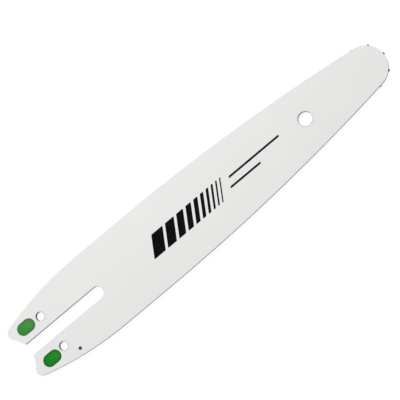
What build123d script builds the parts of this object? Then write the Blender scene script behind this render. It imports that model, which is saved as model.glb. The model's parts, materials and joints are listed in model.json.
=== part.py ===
from build123d import *
import math
import os

# Chainsaw guide bar of the laminated kind: two side plates on a narrower core plate leave a groove
# for the chain along both edges. At the nose the core stops short, and a toothed sprocket runs
# between the side plates on a ring of rollers.
# Millimetres. +X points to the nose, +Z is the printed side, and Z = 0 is the face it lies on.

# Driving dimensions of the bar
bar_length = 290.0               # tail tip to sprocket tip
bar_width = 52.4
side_plate_thickness = 1.1
core_thickness = 1.2             # also the width of the chain groove
groove_depth = 5.8
edge_break = 0.15                # small chamfer round each outer face

# Outline of the side plates
nose_radius = 14.0
belly_radius = 1315.0            # long arcs from the flanks to the nose
tail_radius = 215.0              # arcs that narrow the tail
tail_taper_length = 61.3         # tail tip to the start of those arcs
tail_corner_radius = 3.8
drive_clearance_radius = 17.8    # hollow end that goes round the drive sprocket
slot_mouth_radius = 1.0

# Slot and holes
slot_width = 8.2
slot_length = 64.4               # tail tip to the round end
adjuster_hole_radius = 2.75
adjuster_hole_from_tail = 23.4
adjuster_hole_inset = 11.03      # rail to the hole's centre
hang_hole_radius = 4.5
hang_hole_from_nose = 48.0       # behind the sprocket's axis
oil_hole_radius = 1.15
oil_hole_from_tail = 30.7
oil_hole_margin = 0.23           # between the oil hole and the core's edge

# Printed ovals on the tail
mark_length = 12.5
mark_width = 8.3
mark_thickness = 0.05
upper_mark_from_tail = 12.4
upper_mark_inset = 8.3           # rail to the oval's centre
lower_mark_from_tail = 13.1
lower_mark_inset = 7.5

# Nose sprocket and its bearing
tooth_count = 8
sprocket_tip_radius = 14.7
sprocket_root_radius = 9.5
tooth_tip_width = 1.6
tooth_rounding = 0.35
race_radius = 5.0
roller_radius = 1.0
rivet_radius = 2.4
rivet_head_radius = 3.4
rivet_head_angle = 110.0

# Clearances
side_clearance = 0.1             # sprocket and rollers to each side plate
running_clearance = 0.05         # rollers to the race and to the sprocket's bore
roller_gap = 0.04                # least gap from roller to roller
rivet_clearance = 0.03           # rivet to the plates and the race
pocket_clearance = 0.8           # sprocket tips to the core

# Heights and main points
half_width = bar_width / 2
core_bottom = side_plate_thickness
core_top = core_bottom + core_thickness
bar_thickness = core_top + side_plate_thickness
running_bottom = core_bottom + side_clearance
running_thickness = core_thickness - 2 * side_clearance

tail_x = -bar_length / 2
nose_x = bar_length / 2 - sprocket_tip_radius
nose_center = Vector(nose_x, 0)
hang_hole_x = nose_x - hang_hole_from_nose
adjuster_hole_x = tail_x + adjuster_hole_from_tail
oil_hole_x = tail_x + oil_hole_from_tail
upper_mark_x = tail_x + upper_mark_from_tail
lower_mark_x = tail_x + lower_mark_from_tail


def leg(hypotenuse, other_leg):
    """The other short side of a right-angled triangle."""
    return math.sqrt(hypotenuse**2 - other_leg**2)


# Centres of the outline's arcs, each tangent to its neighbours, for the +Y half
belly_x = nose_x - leg(belly_radius - nose_radius, belly_radius - half_width)
belly_center = Vector(belly_x, half_width - belly_radius)
tail_center = Vector(tail_x + tail_taper_length, half_width - tail_radius)
corner_x = tail_x + tail_corner_radius
corner_y = tail_center.Y + leg(tail_radius - tail_corner_radius, corner_x - tail_center.X)
corner_center = Vector(corner_x, corner_y)
drive_center = Vector(corner_x - leg(drive_clearance_radius + tail_corner_radius, corner_y), 0)


def rail(x):
    """Half the bar's width at a place on the narrowing tail."""
    return tail_center.Y + leg(tail_radius, x - tail_center.X)


# Distances from the centre line; the oil hole opens into the groove, just outside the core
adjuster_hole_offset = rail(adjuster_hole_x) - adjuster_hole_inset
oil_hole_offset = rail(oil_hole_x) - groove_depth + oil_hole_margin + oil_hole_radius
upper_mark_offset = rail(upper_mark_x) - upper_mark_inset
lower_mark_offset = rail(lower_mark_x) - lower_mark_inset


def point_on_arc(center, towards, radius):
    """The point of an arc that lies in line with its centre and another one."""
    return center + (towards - center).normalized() * radius


# Side plate outline: half of it drawn along its arcs, then mirrored about the centre line
with BuildSketch() as plate_outline:
    with BuildLine():
        nose_tip = nose_center + Vector(nose_radius, 0)
        nose_end = point_on_arc(belly_center, nose_center, belly_radius)
        belly_end = belly_center + Vector(0, belly_radius)
        tail_start = tail_center + Vector(0, tail_radius)
        tail_end = point_on_arc(tail_center, corner_center, tail_radius)
        corner_end = point_on_arc(drive_center, corner_center, drive_clearance_radius)
        hollow_middle = drive_center + Vector(drive_clearance_radius, 0)
        RadiusArc(nose_tip, nose_end, -nose_radius)
        RadiusArc(nose_end, belly_end, -belly_radius)
        Line(belly_end, tail_start)
        RadiusArc(tail_start, tail_end, -tail_radius)
        RadiusArc(tail_end, corner_end, -tail_corner_radius)
        RadiusArc(corner_end, hollow_middle, drive_clearance_radius)
        mirror(about=Plane.XZ)
    make_face()
    with Locations((tail_x, 0)):
        SlotOverall(2 * slot_length, slot_width, mode=Mode.SUBTRACT)
    slot_corners = plate_outline.vertices().filter_by(lambda corner: abs(corner.Y) < slot_width)
    fillet(slot_corners.group_by(Axis.X)[0], slot_mouth_radius)
    with Locations((adjuster_hole_x, adjuster_hole_offset), (adjuster_hole_x, -adjuster_hole_offset)):
        Circle(adjuster_hole_radius, mode=Mode.SUBTRACT)
    with Locations((hang_hole_x, 0)):
        Circle(hang_hole_radius, mode=Mode.SUBTRACT)


def side_plate(outer_face):
    """One side plate, drawn on the plane of its outer face, with the oil hole on its -Y side."""
    with BuildPart() as plate:
        with BuildSketch(outer_face):
            add(plate_outline.sketch)
            with Locations((oil_hole_x, -oil_hole_offset)):
                Circle(oil_hole_radius, mode=Mode.SUBTRACT)
        extrude(amount=-side_plate_thickness)
        rim = plate.faces().sort_by(Axis(outer_face.origin, outer_face.z_dir))[-1].outer_wire()
        chamfer(rim.edges(), edge_break)
        with Locations(outer_face):
            with Locations(nose_center):
                CounterSinkHole(
                    rivet_radius + rivet_clearance,
                    rivet_head_radius + rivet_clearance,
                    counter_sink_angle=rivet_head_angle,
                )
    return plate


# Both side plates are the same stamping: the far one is turned over about the bar's centre line
near_side_plate = side_plate(Plane.XY.offset(bar_thickness))
near_side_plate.part.label = "near_side_plate"
far_side_plate = side_plate(Plane(origin=(0, 0, 0), x_dir=(1, 0, 0), z_dir=(0, 0, -1)))
far_side_plate.part.label = "far_side_plate"

# Core plate: one groove depth inside the rails, hollowed round the sprocket at the nose
with BuildPart() as core_plate:
    with BuildSketch(Plane.XY.offset(core_bottom)):
        with BuildLine():
            inner_belly = belly_radius - groove_depth
            inner_tail = tail_radius - groove_depth
            core_half_width = half_width - groove_depth
            nose_corner = (nose_x, belly_center.Y + leg(inner_belly, nose_x - belly_center.X))
            belly_start = (belly_center.X, core_half_width)
            flank_end = (tail_center.X, core_half_width)
            tail_corner = (tail_x, tail_center.Y + leg(inner_tail, tail_x - tail_center.X))
            Line((nose_x, 0), nose_corner)
            RadiusArc(nose_corner, belly_start, -inner_belly)
            Line(belly_start, flank_end)
            RadiusArc(flank_end, tail_corner, -inner_tail)
            Line(tail_corner, (tail_x, 0))
            mirror(about=Plane.XZ)
        make_face()
        with Locations(nose_center):
            Circle(sprocket_tip_radius + pocket_clearance, mode=Mode.SUBTRACT)
        add(plate_outline.sketch, mode=Mode.INTERSECT)
    extrude(amount=core_thickness)
core_plate.part.label = "core_plate"

# Nose sprocket: round gullets, each through the corners of its two teeth and tangent to the root
half_pitch = 180 / tooth_count
gullet_angle = half_pitch - math.degrees(math.asin(tooth_tip_width / 2 / sprocket_tip_radius))
gullet_reach = sprocket_tip_radius * math.cos(math.radians(gullet_angle)) - sprocket_root_radius
gullet_center_radius = (sprocket_tip_radius**2 - sprocket_root_radius**2) / (2 * gullet_reach)
gullet_radius = gullet_center_radius - sprocket_root_radius
sprocket_bore_radius = race_radius + 2 * (roller_radius + running_clearance)
sprocket_plane = Plane((nose_x, 0, running_bottom))

with BuildPart() as nose_sprocket:
    with BuildSketch(sprocket_plane) as teeth:
        Circle(sprocket_tip_radius)
        with PolarLocations(gullet_center_radius, tooth_count, start_angle=half_pitch):
            Circle(gullet_radius, mode=Mode.SUBTRACT)
        fillet(teeth.vertices(), tooth_rounding)
        Circle(sprocket_bore_radius, mode=Mode.SUBTRACT)
    extrude(amount=running_thickness)
nose_sprocket.part.label = "nose_sprocket"

# Bearing: a fixed inner race held between the side plates, and a full ring of rollers
with BuildPart() as bearing_race:
    with BuildSketch(Plane((nose_x, 0, core_bottom))):
        Circle(race_radius)
        Circle(rivet_radius + rivet_clearance, mode=Mode.SUBTRACT)
    extrude(amount=core_thickness)
bearing_race.part.label = "bearing_race"

roller_ring_radius = race_radius + running_clearance + roller_radius
roller_count = int(math.pi / math.asin((roller_radius + roller_gap / 2) / roller_ring_radius))

with BuildPart() as bearing_rollers:
    with BuildSketch(sprocket_plane):
        with PolarLocations(roller_ring_radius, roller_count):
            Circle(roller_radius)
    extrude(amount=running_thickness)
bearing_rollers.part.label = "bearing_rollers"

# Nose rivet: turned in one, with a flush conical head on each outer face
rivet_head_depth = (rivet_head_radius - rivet_radius) / math.tan(math.radians(rivet_head_angle / 2))

with BuildPart() as nose_rivet:
    with BuildSketch(Plane((nose_x, 0, 0), x_dir=(1, 0, 0), z_dir=(0, -1, 0))):
        with BuildLine():
            Polyline(
                (0, 0),
                (rivet_head_radius, 0),
                (rivet_radius, rivet_head_depth),
                (rivet_radius, bar_thickness - rivet_head_depth),
                (rivet_head_radius, bar_thickness),
                (0, bar_thickness),
                close=True,
            )
        make_face()
    revolve(axis=Axis((nose_x, 0, 0), (0, 0, 1)))
nose_rivet.part.label = "nose_rivet"


def tail_mark(x, y):
    """One printed oval, a film of ink on the near side plate."""
    with BuildPart() as mark:
        with BuildSketch(Plane((x, y, bar_thickness))):
            SlotOverall(mark_length, mark_width)
        extrude(amount=mark_thickness)
    return mark


tail_mark_upper = tail_mark(upper_mark_x, upper_mark_offset)
tail_mark_upper.part.label = "tail_mark_upper"
tail_mark_lower = tail_mark(lower_mark_x, -lower_mark_offset)
tail_mark_lower.part.label = "tail_mark_lower"

os.makedirs("parts", exist_ok=True)
export_step(near_side_plate.part, "parts/near_side_plate.step")
export_step(far_side_plate.part, "parts/far_side_plate.step")
export_step(core_plate.part, "parts/core_plate.step")
export_step(nose_sprocket.part, "parts/nose_sprocket.step")
export_step(bearing_race.part, "parts/bearing_race.step")
export_step(bearing_rollers.part, "parts/bearing_rollers.step")
export_step(nose_rivet.part, "parts/nose_rivet.step")
export_step(tail_mark_upper.part, "parts/tail_mark_upper.step")
export_step(tail_mark_lower.part, "parts/tail_mark_lower.step")
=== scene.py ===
"""Looks of a chainsaw guide bar: white enamel over steel, a dark nose sprocket and printed ink."""

import json
import math

import bmesh
import bpy
from mathutils import Matrix, Vector


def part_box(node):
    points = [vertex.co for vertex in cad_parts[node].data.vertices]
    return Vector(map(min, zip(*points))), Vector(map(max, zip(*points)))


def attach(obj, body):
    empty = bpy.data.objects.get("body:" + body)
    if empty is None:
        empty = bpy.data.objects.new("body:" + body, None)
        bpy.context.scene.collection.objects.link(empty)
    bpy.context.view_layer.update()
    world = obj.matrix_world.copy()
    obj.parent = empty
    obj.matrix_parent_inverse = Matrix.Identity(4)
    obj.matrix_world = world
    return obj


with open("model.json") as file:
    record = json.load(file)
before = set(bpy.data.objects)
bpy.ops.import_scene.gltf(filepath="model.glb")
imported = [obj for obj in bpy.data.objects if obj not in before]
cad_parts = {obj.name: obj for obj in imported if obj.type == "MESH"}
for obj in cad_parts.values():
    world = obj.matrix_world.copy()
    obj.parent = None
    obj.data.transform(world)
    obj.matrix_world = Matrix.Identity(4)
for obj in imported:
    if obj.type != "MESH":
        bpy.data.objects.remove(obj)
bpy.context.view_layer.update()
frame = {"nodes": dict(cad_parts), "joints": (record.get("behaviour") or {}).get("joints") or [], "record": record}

MM = 0.001

# Camera: above the printed face, leaning towards the lower rail
CAMERA_AIM = Vector((0.91, 3.26, 3.4)) * MM
CAMERA_DISTANCE = 1473.5 * MM
CAMERA_AZIMUTH = math.radians(26.06)
CAMERA_ELEVATION = math.radians(79.63)
PICTURE_UP = math.radians(50.73)         # from +X, the way that is up in the picture
SENSOR_WIDTH = 36.0
LENS = 216.0
NEAREST = 0.01
FARTHEST = 20.0

# Light: a large soft box over the upper rail, and an even pale room
ROOM_COLOR = (1.0, 1.0, 1.0, 1.0)
ROOM_LEVEL = 0.416
SOFT_BOX_PLACE = Vector((-0.06, 0.62, 0.85))
SOFT_BOX_SIZE = 0.7
SOFT_BOX_POWER = 9.2

# Floor: just under the bar, and clear to the bar's own far face, so that light reaches it from below
FLOOR_SIZE = 4.0
FLOOR_DROP = 0.02 * MM
FLOOR_COLOR = (0.9, 0.9, 0.9, 1.0)
FLOOR_GLOW_SHARE = 0.9
FLOOR_GLOW = 1.04
FLOOR_CLEAR_WITHIN = 0.15 * MM

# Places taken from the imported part, in millimetres
far_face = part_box("far_side_plate")[0].z / MM
near_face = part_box("near_side_plate")[1].z / MM
MIDDLE = (far_face + near_face) / 2
HALF_THICKNESS = (near_face - far_face) / 2
sprocket_spin = next(joint for joint in frame["joints"] if joint["name"] == "sprocket_spin")
NOSE = Vector(sprocket_spin["pos_m"]) / MM
BORES = {
    mount["name"]: (Vector(mount["pos_m"]) / MM, mount["dims"]["r_mm"])
    for mount in frame["record"]["mounts"]
    if mount["kind"] == "bore"
}
slot_box_high = Vector(frame["record"]["physics"]["openings"][0]["box_m"][1]) / MM
SLOT_ROUND_END = 6.0                     # from the stated opening to beyond the slot's round end
SLOT_ROOM = 0.6                          # from the stated opening into the plate on each side
SLOT_END = slot_box_high.x + SLOT_ROUND_END
SLOT_HALF_WIDTH = slot_box_high.y + SLOT_ROOM
HALF_GROOVE = (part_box("core_plate")[1].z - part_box("core_plate")[0].z) / MM / 2
RIVET_HEAD = (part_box("nose_rivet")[1].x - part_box("nose_rivet")[0].x) / MM / 2


class Value:
    """A socket among a finish's nodes. Arithmetic on it adds Math nodes to the same tree."""

    def __init__(self, tree, socket=None):
        self.tree = tree
        self.socket = socket

    def node(self, kind, settings=None, sockets=None, output=0):
        """Adds a node: its settings first, then the values or links of its sockets."""
        added = self.tree.nodes.new(kind)
        for name, setting in (settings or {}).items():
            setattr(added, name, setting)
        for name, given in (sockets or {}).items():
            if isinstance(given, Value):
                self.tree.links.new(given.socket, added.inputs[name])
            else:
                added.inputs[name].default_value = given
        return Value(self.tree, added.outputs[output] if added.outputs else None)

    def output(self, name):
        """Another output of the same node."""
        return Value(self.tree, self.socket.node.outputs[name])

    def math(self, operation, first, second=0.0):
        """A Math node on one or two values."""
        return self.node("ShaderNodeMath", {"operation": operation}, {0: first, 1: second})

    def __add__(self, other):
        return self.math("ADD", self, other)

    def __radd__(self, other):
        return self.math("ADD", other, self)

    def __sub__(self, other):
        return self.math("SUBTRACT", self, other)

    def __rsub__(self, other):
        return self.math("SUBTRACT", other, self)

    def __mul__(self, other):
        return self.math("MULTIPLY", self, other)

    def __rmul__(self, other):
        return self.math("MULTIPLY", other, self)

    def __abs__(self):
        return self.math("ABSOLUTE", self)

    def least(self, other):
        return self.math("MINIMUM", self, other)

    def most(self, other):
        return self.math("MAXIMUM", self, other)


def new_finish(name):
    """An empty material, and the value that its nodes are added from."""
    material = bpy.data.materials.new(name)
    material.use_nodes = True
    material.node_tree.nodes.clear()
    return material, Value(material.node_tree)


def place_in_mm(nodes):
    """The point on the piece, in millimetres of the part's own frame."""
    place = nodes.node("ShaderNodeTexCoord", output="Object")
    return nodes.node("ShaderNodeVectorMath", {"operation": "SCALE"}, {0: place, "Scale": 1 / MM})


def distance(place, center):
    """How far a point is from a centre."""
    sockets = {0: place, 1: center}
    return place.node("ShaderNodeVectorMath", {"operation": "DISTANCE"}, sockets, output="Value")


def flattened(place):
    """The point above or below it in the bar's middle plane."""
    sockets = {0: place, 1: (1.0, 1.0, 0.0), 2: (0.0, 0.0, MIDDLE)}
    return place.node("ShaderNodeVectorMath", {"operation": "MULTIPLY_ADD"}, sockets)


def outside(flat_place, bore_name):
    """How far a flattened point is outside the wall of a round hole."""
    center, radius = BORES[bore_name]
    return distance(flat_place, center) - radius


def outside_adjusters(flat_place):
    """How far a flattened point is outside the nearer adjuster hole."""
    return outside(flat_place, "adjuster_hole_upper").least(outside(flat_place, "adjuster_hole_lower"))


def rise(value, low, high):
    """0 at low, 1 at high, smooth between; low may be the larger."""
    sockets = {"Value": value, "From Min": low, "From Max": high}
    return value.node("ShaderNodeMapRange", {"interpolation_type": "SMOOTHSTEP"}, sockets)


def mixed(share, first, second):
    """A number between two, by a share from 0 to 1."""
    return first * (1 - share) + second * share


# Where a Mix node has its colour sockets, because its sockets for numbers have the same names
MIX_SHARE = 0
MIX_FIRST = 6
MIX_SECOND = 7
MIX_RESULT = 2


def between(share, first, second):
    """A colour between two, by a share from 0 to 1."""
    sockets = {MIX_SHARE: share, MIX_FIRST: first, MIX_SECOND: second}
    return share.node("ShaderNodeMix", {"data_type": "RGBA"}, sockets, output=MIX_RESULT)


# Random grain
NOISE_DETAIL = 3.0
PATCH_LOW = 0.32
PATCH_HIGH = 0.68


def speckle(place, size):
    """Soft random grain about as large as size, from 0 to 1."""
    sockets = {"Vector": place, "Scale": 1 / size, "Detail": NOISE_DETAIL}
    return place.node("ShaderNodeTexNoise", {"noise_dimensions": "3D"}, sockets)


def patches(place, size):
    """The same grain parted into clear patches."""
    return rise(speckle(place, size), PATCH_LOW, PATCH_HIGH)


def grain_along(place, scales):
    """Grain that runs one way: a small scale draws it out along that axis."""
    drawn = place.node("ShaderNodeVectorMath", {"operation": "MULTIPLY"}, {0: place, 1: scales})
    return speckle(drawn, 1.0)


def rings_about_nose(place, count):
    """Fine turned rings about the middle of the nose, count of them to a millimetre."""
    outward = place.node("ShaderNodeCombineXYZ", {}, {"X": distance(place, NOSE) * count})
    return speckle(outward, 1.0)


def relief(height, depth):
    """A normal that follows a height from 0 to 1, depth millimetres deep."""
    return height.node("ShaderNodeBump", {}, {"Height": height, "Distance": depth * MM, "Strength": 1.0})


def finish_with(nodes, sockets):
    """Closes a finish with its surface shader."""
    surface = nodes.node("ShaderNodeBsdfPrincipled", {}, sockets)
    nodes.node("ShaderNodeOutputMaterial", {}, {"Surface": surface})


def rgb(red, green, blue):
    """An opaque colour."""
    return (red, green, blue, 1.0)


# White enamel on the outer faces, sizes in millimetres
ENAMEL_LOW = rgb(0.726, 0.733, 0.713)
ENAMEL_HIGH = rgb(0.756, 0.763, 0.743)
ENAMEL_RING_GREY = rgb(0.40, 0.40, 0.40)
ENAMEL_CLOUD = 38.0
ENAMEL_PEEL = 1.3
ENAMEL_DUST = 0.35
ENAMEL_ROUGHNESS = 0.44
ENAMEL_DUST_ROUGHNESS = 0.1
ENAMEL_GLOSS = 0.4
COAT_END = 0.10
COAT_FULL = 0.04
COAT_RAG = 0.12
COAT_RAG_SIZE = 0.5
HOLE_BARE = 0.04
HOLE_COATED = 0.11
HOLE_RIM = 1.1
HOLE_RIM_SHARE = 0.35
# Painted shade at the rim of the rivet's head, over the joint
SEAM_SHADE_WIDTH = 0.35
SEAM_SHADE_SHARE = 0.12

# Bare steel that the enamel leaves: the rails, the walls of the slot and holes, and the groove
RAIL_LOW = rgb(0.42, 0.42, 0.425)
RAIL_HIGH = rgb(0.62, 0.62, 0.625)
SHEAR_LOW = rgb(0.21, 0.21, 0.213)
SHEAR_HIGH = rgb(0.33, 0.33, 0.335)
# The adjuster holes' walls: near black, painted shade in the narrow holes
ADJUSTER_SHADE_LOW = rgb(0.008, 0.008, 0.008)
ADJUSTER_SHADE_HIGH = rgb(0.025, 0.025, 0.026)
GROOVE_LOW = rgb(0.28, 0.278, 0.274)
GROOVE_HIGH = rgb(0.44, 0.438, 0.434)
BARE_EDGE = 0.2
GRIND_GRAIN = (0.12, 0.12, 9.0)
SHEAR_GRAIN = (4.0, 4.0, 0.3)
STEEL_METALLIC = 0.9
DULL_METALLIC = 0.3
STEEL_ROUGHNESS = 0.38
STEEL_GRAIN_ROUGHNESS = 0.14
DULL_ROUGHNESS = 0.45
ENAMEL_RELIEF = 0.004


def white_enamel():
    """Satin white coat on both outer faces, ending on the broken edge; all the rest is bare steel."""
    material, nodes = new_finish("white_enamel")
    place = place_in_mm(nodes)
    axes = nodes.node("ShaderNodeSeparateXYZ", {}, {0: place})
    x, y, z = axes.output("X"), axes.output("Y"), axes.output("Z")
    flat_place = flattened(place)
    from_middle = abs(z - MIDDLE)
    from_hang = outside(flat_place, "hang_hole")
    from_adjuster = outside_adjusters(flat_place)
    from_hole = from_hang.least(from_adjuster)

    # Where each surface lies: in a hole, in the slot, in the groove or under the coat
    in_hang = rise(from_hang, BARE_EDGE, BARE_EDGE / 2)
    in_adjuster = rise(from_adjuster, BARE_EDGE, BARE_EDGE / 2)
    beside_slot = rise(abs(y), SLOT_HALF_WIDTH, SLOT_HALF_WIDTH - BARE_EDGE)
    in_slot = beside_slot * rise(x, SLOT_END, SLOT_END - BARE_EDGE)
    in_groove = rise(from_middle, HALF_GROOVE + BARE_EDGE, HALF_GROOVE)
    ragged = speckle(place, COAT_RAG_SIZE) * COAT_RAG - COAT_RAG / 2
    coat = rise(from_middle + ragged, HALF_THICKNESS - COAT_END, HALF_THICKNESS - COAT_FULL)
    coat = coat * rise(from_hole, HOLE_BARE, HOLE_COATED)

    # A darker grey ring round the holes, and painted shade on a ring at the rim of the rivet's head, over the
    # joint
    second_tone = rise(from_hole, HOLE_RIM, HOLE_COATED) * HOLE_RIM_SHARE
    from_seam = abs(distance(flat_place, NOSE) - RIVET_HEAD)
    seam_shade = rise(from_seam, SEAM_SHADE_WIDTH, 0.0) * SEAM_SHADE_SHARE
    enamel = between(speckle(place, ENAMEL_CLOUD), ENAMEL_LOW, ENAMEL_HIGH)
    enamel = between(second_tone.most(seam_shade), enamel, ENAMEL_RING_GREY)

    # Bare steel: rails ground lengthwise, walls sheared through the thickness, the groove left dull; the adjuster
    # holes' walls painted near black, painted shade
    grind = grain_along(place, GRIND_GRAIN)
    shears = grain_along(place, SHEAR_GRAIN)
    steel = between(grind, RAIL_LOW, RAIL_HIGH)
    steel = between(in_slot.most(in_hang), steel, between(shears, SHEAR_LOW, SHEAR_HIGH))
    steel = between(in_adjuster, steel, between(shears, ADJUSTER_SHADE_LOW, ADJUSTER_SHADE_HIGH))
    steel = between(in_groove, steel, between(grind, GROOVE_LOW, GROOVE_HIGH))
    dull = in_hang.most(in_adjuster).most(in_groove)
    steel_roughness = STEEL_ROUGHNESS + STEEL_GRAIN_ROUGHNESS * grind + DULL_ROUGHNESS * dull
    enamel_roughness = ENAMEL_ROUGHNESS + ENAMEL_DUST_ROUGHNESS * speckle(place, ENAMEL_DUST)

    finish_with(nodes, {
        "Base Color": between(coat, steel, enamel),
        "Metallic": (1 - coat) * mixed(dull, STEEL_METALLIC, DULL_METALLIC),
        "Roughness": mixed(coat, steel_roughness, enamel_roughness),
        "Normal": relief(mixed(coat, grind, speckle(place, ENAMEL_PEEL)), ENAMEL_RELIEF),
        "Specular IOR Level": ENAMEL_GLOSS,
    })
    return material


# Core plate: rolled steel with an oily film
CORE_LOW = rgb(0.10, 0.10, 0.105)
CORE_HIGH = rgb(0.22, 0.22, 0.225)
CORE_FILM = rgb(0.07, 0.066, 0.06)
CORE_FILM_SIZE = 9.0
CORE_GRAIN = (0.1, 2.5, 2.5)
CORE_METALLIC = 0.85
FILM_METALLIC = 0.5
CORE_ROUGHNESS = 0.52
FILM_ROUGHNESS = 0.36
CORE_GRAIN_ROUGHNESS = 0.1
CORE_RELIEF = 0.006


def core_steel():
    """Rolled steel between the side plates, with an oily film in patches; the adjuster holes' walls painted near
    black, painted shade.
    """
    material, nodes = new_finish("core_steel")
    place = place_in_mm(nodes)
    grain = grain_along(place, CORE_GRAIN)
    oily = patches(place, CORE_FILM_SIZE)
    in_adjuster = rise(outside_adjusters(flattened(place)), BARE_EDGE, BARE_EDGE / 2)
    steel = between(oily, between(grain, CORE_LOW, CORE_HIGH), CORE_FILM)
    steel_metallic = mixed(oily, CORE_METALLIC, FILM_METALLIC)
    steel_roughness = mixed(oily, CORE_ROUGHNESS, FILM_ROUGHNESS) + CORE_GRAIN_ROUGHNESS * grain
    finish_with(nodes, {
        "Base Color": between(in_adjuster, steel, between(grain, ADJUSTER_SHADE_LOW, ADJUSTER_SHADE_HIGH)),
        "Metallic": mixed(in_adjuster, steel_metallic, DULL_METALLIC),
        "Roughness": mixed(in_adjuster, steel_roughness, STEEL_ROUGHNESS + DULL_ROUGHNESS),
        "Normal": relief(grain, CORE_RELIEF),
    })
    return material


# Nose sprocket: oil-blackened; the half of the wheel behind the nose's axis is painted bright, painted light on
# its teeth
SPROCKET_LOW = rgb(0.006, 0.006, 0.007)
SPROCKET_HIGH = rgb(0.016, 0.016, 0.017)
SPROCKET_PAINTED_LIGHT = rgb(0.26, 0.26, 0.265)
PAINTED_LIGHT_START = 6.0                          # ahead of the nose's axis
PAINTED_LIGHT_END = 0.0
PAINTED_LIGHT_UNEVEN = 5.0
PAINTED_LIGHT_SIZE = 2.4
SPROCKET_RINGS = 5.0
SPROCKET_METALLIC = 0.2
PAINTED_LIGHT_METALLIC = 0.7
SPROCKET_ROUGHNESS = 0.55
PAINTED_LIGHT_ROUGHNESS = 0.43
RING_ROUGHNESS = 0.1
SPROCKET_GLOSS = 0.15
SPROCKET_RELIEF = 0.004


def sprocket_steel():
    """Oil-blackened steel with turned rings, and painted light: the teeth on the half of the wheel behind the
    nose's axis are painted bright.
    """
    material, nodes = new_finish("sprocket_steel")
    place = place_in_mm(nodes)
    rings = rings_about_nose(place, SPROCKET_RINGS)
    # Painted light: bright colour on the half of the wheel behind the nose's axis
    ahead = nodes.node("ShaderNodeSeparateXYZ", {}, {0: place}).output("X") - NOSE.x
    uneven = speckle(place, PAINTED_LIGHT_SIZE) * PAINTED_LIGHT_UNEVEN - PAINTED_LIGHT_UNEVEN / 2
    painted_light_half = rise(ahead + uneven, PAINTED_LIGHT_START, PAINTED_LIGHT_END)
    finish_with(nodes, {
        "Base Color": between(painted_light_half, between(rings, SPROCKET_LOW, SPROCKET_HIGH), SPROCKET_PAINTED_LIGHT),
        "Metallic": mixed(painted_light_half, SPROCKET_METALLIC, PAINTED_LIGHT_METALLIC),
        "Roughness": mixed(painted_light_half, SPROCKET_ROUGHNESS, PAINTED_LIGHT_ROUGHNESS) + RING_ROUGHNESS * rings,
        "Normal": relief(rings, SPROCKET_RELIEF),
        "Specular IOR Level": SPROCKET_GLOSS,
    })
    return material


# Bearing: race and rollers, bright and ground
BEARING_LOW = rgb(0.46, 0.46, 0.47)
BEARING_HIGH = rgb(0.62, 0.62, 0.63)
BEARING_RINGS = 9.0
BEARING_ROUGHNESS = 0.2
BEARING_RING_ROUGHNESS = 0.16
BEARING_RELIEF = 0.002


def bearing_steel():
    """Bright ground steel with fine rings about the nose."""
    material, nodes = new_finish("bearing_steel")
    rings = rings_about_nose(place_in_mm(nodes), BEARING_RINGS)
    finish_with(nodes, {
        "Base Color": between(rings, BEARING_LOW, BEARING_HIGH),
        "Metallic": 1.0,
        "Roughness": BEARING_ROUGHNESS + BEARING_RING_ROUGHNESS * rings,
        "Normal": relief(rings, BEARING_RELIEF),
    })
    return material


# Inks: matt, a little uneven, with the screen's fine tooth; the upper oval is the paler one
INK_PATCH = 3.4
INK_TOOTH = 0.22
INK_ROUGHNESS = 0.5
INK_TOOTH_ROUGHNESS = 0.14
INK_RELIEF = 0.003
INK_GLOSS = 0.02
BEAD_WIDTH = 2.6
PALE_SIDE_SHARE = 0.85
UPPER_GREEN_PALE = rgb(0.076, 0.262, 0.066)
UPPER_GREEN_FULL = rgb(0.028, 0.262, 0.036)
UPPER_GREEN_EDGE = rgb(0.060, 0.170, 0.056)
LOWER_GREEN_PALE = rgb(0.022, 0.234, 0.028)
LOWER_GREEN_FULL = rgb(0.004, 0.226, 0.011)
LOWER_GREEN_EDGE = rgb(0.020, 0.135, 0.020)
BLACK_THIN = rgb(0.0045, 0.0045, 0.005)
BLACK_FULL = rgb(0.002, 0.002, 0.002)


def ink_with(nodes, place, color):
    """Closes an ink with its colour."""
    tooth = speckle(place, INK_TOOTH)
    finish_with(nodes, {
        "Base Color": color,
        "Roughness": INK_ROUGHNESS + INK_TOOTH_ROUGHNESS * tooth,
        "Normal": relief(tooth, INK_RELIEF),
        "Specular IOR Level": INK_GLOSS,
    })


def black_ink():
    """Solid black print."""
    material, nodes = new_finish("black_ink")
    place = place_in_mm(nodes)
    ink_with(nodes, place, between(patches(place, INK_PATCH), BLACK_THIN, BLACK_FULL))
    return material


def green_ink(name, node_name, second_tone, full, edge):
    """The ink of one tail oval: paler towards the nose and upper rail, with a dark bead round it."""
    low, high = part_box(node_name)
    center = (low + high) / 2 / MM
    half_width = (high.y - low.y) / MM / 2
    half_straight = (high.x - low.x) / MM / 2 - half_width
    material, nodes = new_finish(name)
    place = place_in_mm(nodes)
    axes = nodes.node("ShaderNodeSeparateXYZ", {}, {0: place})
    along = axes.output("X") - center.x
    aside = axes.output("Y") - center.y
    beyond = (abs(along) - half_straight).most(0.0)
    from_spine = nodes.math("SQRT", beyond * beyond + aside * aside)
    bead = rise(from_spine, half_width - BEAD_WIDTH, half_width)
    pale_side = rise(along + aside, -half_width, half_width)
    paleness = mixed(PALE_SIDE_SHARE, patches(place, INK_PATCH), pale_side)
    ink_with(nodes, place, between(bead, between(paleness, full, second_tone), edge))
    return material


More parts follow.
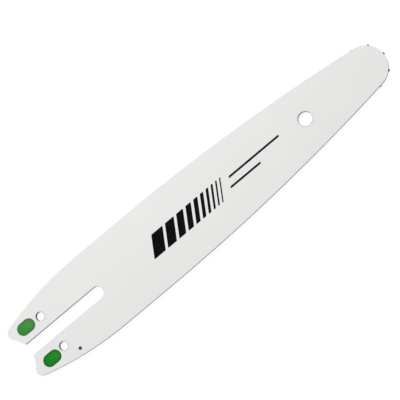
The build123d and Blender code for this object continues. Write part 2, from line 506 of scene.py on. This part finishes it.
# The finish of each piece of the part
enamel_finish = white_enamel()
bearing_finish = bearing_steel()
FINISHES = {
    "near_side_plate": enamel_finish,
    "far_side_plate": enamel_finish,
    "nose_rivet": enamel_finish,
    "core_plate": core_steel(),
    "nose_sprocket": sprocket_steel(),
    "bearing_race": bearing_finish,
    "bearing_rollers": bearing_finish,
    "tail_mark_upper": green_ink(
        "green_ink_paler", "tail_mark_upper", UPPER_GREEN_PALE, UPPER_GREEN_FULL, UPPER_GREEN_EDGE
    ),
    "tail_mark_lower": green_ink(
        "green_ink", "tail_mark_lower", LOWER_GREEN_PALE, LOWER_GREEN_FULL, LOWER_GREEN_EDGE
    ),
}
for node_name, finish in FINISHES.items():
    materials = frame["nodes"][node_name].data.materials
    materials.clear()
    materials.append(finish)

# Printed fade on the near face: slanted bars that thin out towards the nose, then two thin lines
FADE_START = -44.0
FADE_LOW = -7.0
FADE_HIGH = 6.2
FADE_LEAN = 8.0
FADE_BARS = 10
FIRST_BAR_WIDTH = 9.0
BAR_SHRINK = 0.78
BAR_GAP = 2.0
LINE_STARTS = (23.0, 20.0)
LINE_ENDS = (63.0, 44.0)
LINE_MIDDLES = (2.6, -3.0)
LINE_WIDTH = 1.3
LINE_LEAN = 0.8
INK_CORNER = 0.35
INK_CORNER_STEPS = 5
INK_THICKNESS = 0.03
INK_SINK = 0.01


def rounded(corners, radius, steps):
    """A closed outline with each corner rounded by an arc."""
    outline = []
    for index, corner in enumerate(corners):
        to_last = (corners[index - 1] - corner).normalized()
        to_next = (corners[(index + 1) % len(corners)] - corner).normalized()
        half_angle = to_last.angle(to_next) / 2
        center = corner + (to_last + to_next).normalized() * (radius / math.sin(half_angle))
        start = corner + to_last * (radius / math.tan(half_angle)) - center
        turn = math.pi - 2 * half_angle
        for step in range(steps + 1):
            outline.append(center + Matrix.Rotation(turn * step / steps, 2) @ start)
    return outline


def slanted(left, right, low, high, lean):
    """Corners of a bar that leans towards the nose, counter-clockwise."""
    corners = ((left, low), (right, low), (right + lean, high), (left + lean, high))
    return [Vector(corner) for corner in corners]


def film(outlines):
    """Flat films of ink on the near face, one for each outline, as one mesh."""
    shape = bmesh.new()
    bottom = near_face - INK_SINK
    top = near_face + INK_THICKNESS
    for outline in outlines:
        foot = [shape.verts.new(Vector((point.x, point.y, bottom)) * MM) for point in outline]
        rim = [shape.verts.new(Vector((point.x, point.y, top)) * MM) for point in outline]
        shape.faces.new(rim)
        shape.faces.new(foot[::-1])
        for index in range(len(outline)):
            shape.faces.new((foot[index - 1], foot[index], rim[index], rim[index - 1]))
    mesh = bpy.data.meshes.new("fade_print")
    shape.to_mesh(mesh)
    shape.free()
    return mesh


fade_outlines = []
bar_left = FADE_START
bar_width = FIRST_BAR_WIDTH
for _ in range(FADE_BARS):
    corners = slanted(bar_left, bar_left + bar_width, FADE_LOW, FADE_HIGH, FADE_LEAN)
    fade_outlines.append(rounded(corners, INK_CORNER, INK_CORNER_STEPS))
    bar_left += bar_width + BAR_GAP
    bar_width *= BAR_SHRINK
for line_start, line_end, line_middle in zip(LINE_STARTS, LINE_ENDS, LINE_MIDDLES):
    corners = slanted(
        line_start, line_end, line_middle - LINE_WIDTH / 2, line_middle + LINE_WIDTH / 2, LINE_LEAN
    )
    fade_outlines.append(rounded(corners, INK_CORNER, INK_CORNER_STEPS))

fade_print = bpy.data.objects.new("fade_print", film(fade_outlines))
bpy.context.scene.collection.objects.link(fade_print)
fade_print.data.materials.append(black_ink())
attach(fade_print, "bar")


def seen_directly(nodes):
    """1 for the rays that show the backdrop: straight, mirrored or through glass."""
    path = nodes.node("ShaderNodeLightPath", output="Is Camera Ray")
    return path.most(path.output("Is Glossy Ray")).most(path.output("Is Transmission Ray"))


# Floor: pale, lit, and lifted to white where it is seen; clear from below and to the face lying on it
floor_mesh = bpy.data.meshes.new("floor")
floor_shape = bmesh.new()
bmesh.ops.create_grid(floor_shape, x_segments=1, y_segments=1, size=FLOOR_SIZE / 2)
floor_shape.to_mesh(floor_mesh)
floor_shape.free()
floor = bpy.data.objects.new("floor", floor_mesh)
floor.location.z = -FLOOR_DROP
bpy.context.scene.collection.objects.link(floor)

floor_finish, nodes = new_finish("pale_floor")
paper = nodes.node("ShaderNodeBsdfDiffuse", {}, {"Color": FLOOR_COLOR})
glow = nodes.node("ShaderNodeEmission", {}, {"Strength": FLOOR_GLOW})
glowing = seen_directly(nodes) * FLOOR_GLOW_SHARE
lit = nodes.node("ShaderNodeMixShader", {}, {0: glowing, 1: paper, 2: glow})
below = nodes.node("ShaderNodeNewGeometry", output="Backfacing")
ray_length = nodes.node("ShaderNodeLightPath", output="Ray Length")
touching = nodes.math("LESS_THAN", ray_length, FLOOR_CLEAR_WITHIN)
clear = nodes.node("ShaderNodeBsdfTransparent")
surface = nodes.node("ShaderNodeMixShader", {}, {0: below.most(touching), 1: lit, 2: clear})
nodes.node("ShaderNodeOutputMaterial", {}, {"Surface": surface})
floor.data.materials.append(floor_finish)

# Room: even light, white where it is seen
room = bpy.data.worlds.new("room")
bpy.context.scene.world = room
room.use_nodes = True
room.node_tree.nodes.clear()
nodes = Value(room.node_tree)
level = seen_directly(nodes) * (1 - ROOM_LEVEL) + ROOM_LEVEL
light = nodes.node("ShaderNodeBackground", {}, {"Color": ROOM_COLOR, "Strength": level})
nodes.node("ShaderNodeOutputWorld", {}, {"Surface": light})

# Soft box, aimed at the bar
soft_box_light = bpy.data.lights.new("soft_box", "AREA")
soft_box_light.shape = "DISK"
soft_box_light.size = SOFT_BOX_SIZE
soft_box_light.energy = SOFT_BOX_POWER
soft_box = bpy.data.objects.new("soft_box", soft_box_light)
soft_box.location = SOFT_BOX_PLACE
soft_box.rotation_euler = (-SOFT_BOX_PLACE).to_track_quat("-Z", "Y").to_euler()
bpy.context.scene.collection.objects.link(soft_box)

# Camera
backward = Vector((
    math.sin(CAMERA_AZIMUTH) * math.cos(CAMERA_ELEVATION),
    -math.cos(CAMERA_AZIMUTH) * math.cos(CAMERA_ELEVATION),
    math.sin(CAMERA_ELEVATION),
))
rightward = Vector((math.cos(PICTURE_UP), math.sin(PICTURE_UP), 0.0)).cross(backward).normalized()
upward = backward.cross(rightward)
camera_lens = bpy.data.cameras.new("camera")
camera_lens.sensor_width = SENSOR_WIDTH
camera_lens.lens = LENS
camera_lens.clip_start = NEAREST
camera_lens.clip_end = FARTHEST
camera = bpy.data.objects.new("camera", camera_lens)
camera.matrix_world = Matrix.Translation(CAMERA_AIM + backward * CAMERA_DISTANCE) @ Matrix(
    (rightward, upward, backward)
).transposed().to_4x4()
bpy.context.scene.collection.objects.link(camera)
bpy.context.scene.camera = camera

bpy.context.scene.view_settings.view_transform = "Standard"
